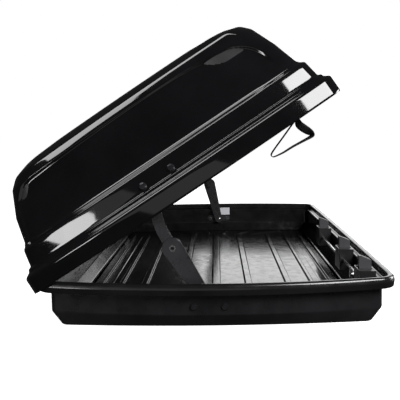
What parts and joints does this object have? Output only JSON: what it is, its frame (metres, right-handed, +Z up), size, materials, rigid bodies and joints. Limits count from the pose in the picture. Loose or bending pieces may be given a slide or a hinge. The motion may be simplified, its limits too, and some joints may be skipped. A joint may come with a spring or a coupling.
{
  "type": "roof cargo box",
  "caption": "Side-opening roof cargo box: ribbed tray, stepped gloss lid on a hinge line, elbow lid arms, key-locked claw latches and a pull strap.",
  "frame": {"origin": "middle of the tub's flat underside, which rests on the roof bars", "axes": "+X towards the opening side, -X towards the hinge side, +Y along the box towards its rear, +Z up"},
  "size_m": [0.9675, 1.308, 0.7413],
  "materials": {
    "black_plastic": "moulded, fine grain",
    "black_steel": "e-coated pressed steel, satin",
    "gloss_black": "thermoformed ABS, high gloss",
    "grey_plastic": "moulded nylon, satin",
    "label_white": "blank film label",
    "satin_black": "thermoformed ABS tray, semi gloss",
    "webbing": "woven nylon webbing",
    "zinc": "bright zinc plated"
  },
  "bodies": {
    "base": {"arm_base_bracket_front": "black_steel", "arm_base_bracket_rear": "black_steel", "base_bracket_bolts_front": "black_steel", "base_bracket_bolts_rear": "black_steel", "base_bracket_nuts_front": "zinc", "base_bracket_nuts_rear": "zinc", "base_pivot_front": "zinc", "base_pivot_rear": "zinc", "base_tub": "satin_black", "blank_label": "label_white", "claw_pins": "zinc", "hinge_base_leaves": "black_steel", "hinge_base_rivets": "black_steel", "hinge_pins": "zinc", "latch_housing_front": "black_plastic", "latch_housing_middle": "black_plastic", "latch_housing_rear": "black_plastic", "latch_screws": "zinc", "lock_body": "zinc", "lock_escutcheon": "black_plastic"},
    "lid": {"arm_lid_bracket_front": "black_steel", "arm_lid_bracket_rear": "black_steel", "hinge_lid_leaves": "black_steel", "hinge_lid_rivets": "black_steel", "lid_bracket_bolts_front": "black_steel", "lid_bracket_bolts_rear": "black_steel", "lid_bracket_nuts_front": "zinc", "lid_bracket_nuts_rear": "zinc", "lid_front_stiffener": "black_steel", "lid_pivot_front": "zinc", "lid_pivot_rear": "zinc", "lid_shell": "gloss_black", "pull_strap": "webbing", "strap_screw": "zinc", "striker_front": "black_steel", "striker_middle": "black_steel", "striker_rear": "black_steel", "striker_screws": "zinc"},
    "lock": {"lock_cylinder": "zinc", "key": "zinc"},
    "lock_bar": {"lock_bar": "zinc"},
    "lower_link_front": {"lower_link_front": "black_steel", "elbow_rivet_front": "zinc"},
    "upper_link_front": {"upper_link_front": "black_steel"},
    "lower_link_rear": {"lower_link_rear": "black_steel", "elbow_rivet_rear": "zinc"},
    "upper_link_rear": {"upper_link_rear": "black_steel"},
    "claw_front": {"latch_claw_front": "grey_plastic"},
    "claw_middle": {"latch_claw_middle": "grey_plastic"},
    "claw_rear": {"latch_claw_rear": "grey_plastic"}
  },
  "joints": [
    {"name": "lid_hinge", "type": "hinge", "parent": "base", "child": "lid", "pos_m": [-0.426, 0, 0.091], "axis": [0, 1, 0], "range_deg": [0, 33]},
    {"name": "lower_link_front_pivot", "type": "hinge", "parent": "base", "child": "lower_link_front", "pos_m": [-0.018, -0.59, 0.056], "axis": [0, 1, 0], "range_deg": [-52.99, 0]},
    {"name": "upper_link_front_pivot", "type": "hinge", "parent": "lid", "child": "upper_link_front", "pos_m": [-0.13528, -0.578, 0.37042], "axis": [0, 1, 0], "range_deg": [0, 34.02]},
    {"name": "lower_link_rear_pivot", "type": "hinge", "parent": "base", "child": "lower_link_rear", "pos_m": [0.012, 0.59, 0.056], "axis": [0, 1, 0], "range_deg": [0, 76.39]},
    {"name": "upper_link_rear_pivot", "type": "hinge", "parent": "lid", "child": "upper_link_rear", "pos_m": [-0.13528, 0.578, 0.37042], "axis": [0, 1, 0], "range_deg": [-77.43, 0]},
    {"name": "lock_turn", "type": "hinge", "parent": "base", "child": "lock", "pos_m": [0.41286, -0.37, 0.062], "axis": [1, 0, 0], "range_deg": [0, 90.3]},
    {"name": "lock_bar_slide", "type": "slide", "parent": "base", "child": "lock_bar", "axis": [0, 1, 0], "range_m": [0, 0.014]},
    {"name": "claw_front_swing", "type": "hinge", "parent": "base", "child": "claw_front", "pos_m": [0.3875, -0.49, 0.1], "axis": [-1, 0, 0], "range_deg": [0, 22.05]},
    {"name": "claw_middle_swing", "type": "hinge", "parent": "base", "child": "claw_middle", "pos_m": [0.38898, -0.25, 0.1], "axis": [-1, 0, 0], "range_deg": [0, 22.05]},
    {"name": "claw_rear_swing", "type": "hinge", "parent": "base", "child": "claw_rear", "pos_m": [0.38945, 0.075, 0.1], "axis": [-1, 0, 0], "range_deg": [0, 22.05]}
  ],
  "couplings": [
    {"joint": "lower_link_front_pivot", "follows": "lid_hinge", "ratio": -1.6053},
    {"joint": "upper_link_front_pivot", "follows": "lid_hinge", "ratio": 1.0307},
    {"joint": "lower_link_rear_pivot", "follows": "lid_hinge", "ratio": 2.3144},
    {"joint": "upper_link_rear_pivot", "follows": "lid_hinge", "ratio": -2.3462},
    {"joint": "lock_turn", "follows": "lock_bar_slide", "rad_per_m": 112.2},
    {"joint": "claw_front_swing", "follows": "lock_bar_slide", "rad_per_m": 27.427},
    {"joint": "claw_middle_swing", "follows": "lock_bar_slide", "rad_per_m": 27.427},
    {"joint": "claw_rear_swing", "follows": "lock_bar_slide", "rad_per_m": 27.427}
  ]
}
